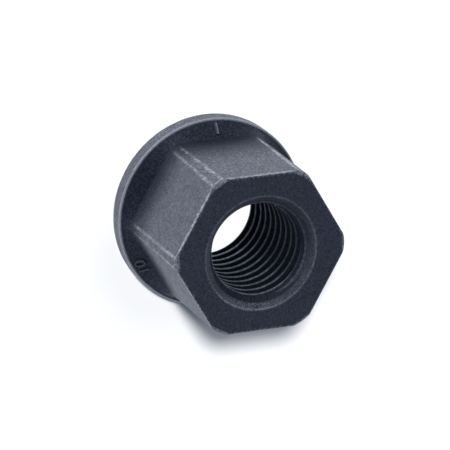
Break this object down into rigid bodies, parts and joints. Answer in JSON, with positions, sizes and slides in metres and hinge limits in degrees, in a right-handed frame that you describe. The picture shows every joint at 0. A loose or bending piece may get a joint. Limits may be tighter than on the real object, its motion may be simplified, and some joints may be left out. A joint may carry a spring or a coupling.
{
  "type": "collar nut",
  "caption": "Tall hexagon nut forged in one piece with a round collar whose top slopes up to the hexagon, tapped right through with a coarse thread and countersunk at both ends, in blackened steel.",
  "frame": {"origin": "centre of the flat bearing face under the collar, on the thread axis", "axes": "+Z along the thread axis from the bearing face to the free end of the hexagon; two corners of the hexagon lie along X and one pair of flats faces +Y and -Y"},
  "size_m": [0.037, 0.037, 0.0286],
  "materials": {
    "black_steel": "matt black phosphate over forged steel"
  },
  "bodies": {
    "root": {"collar_nut": "black_steel"}
  },
  "joints": []
}
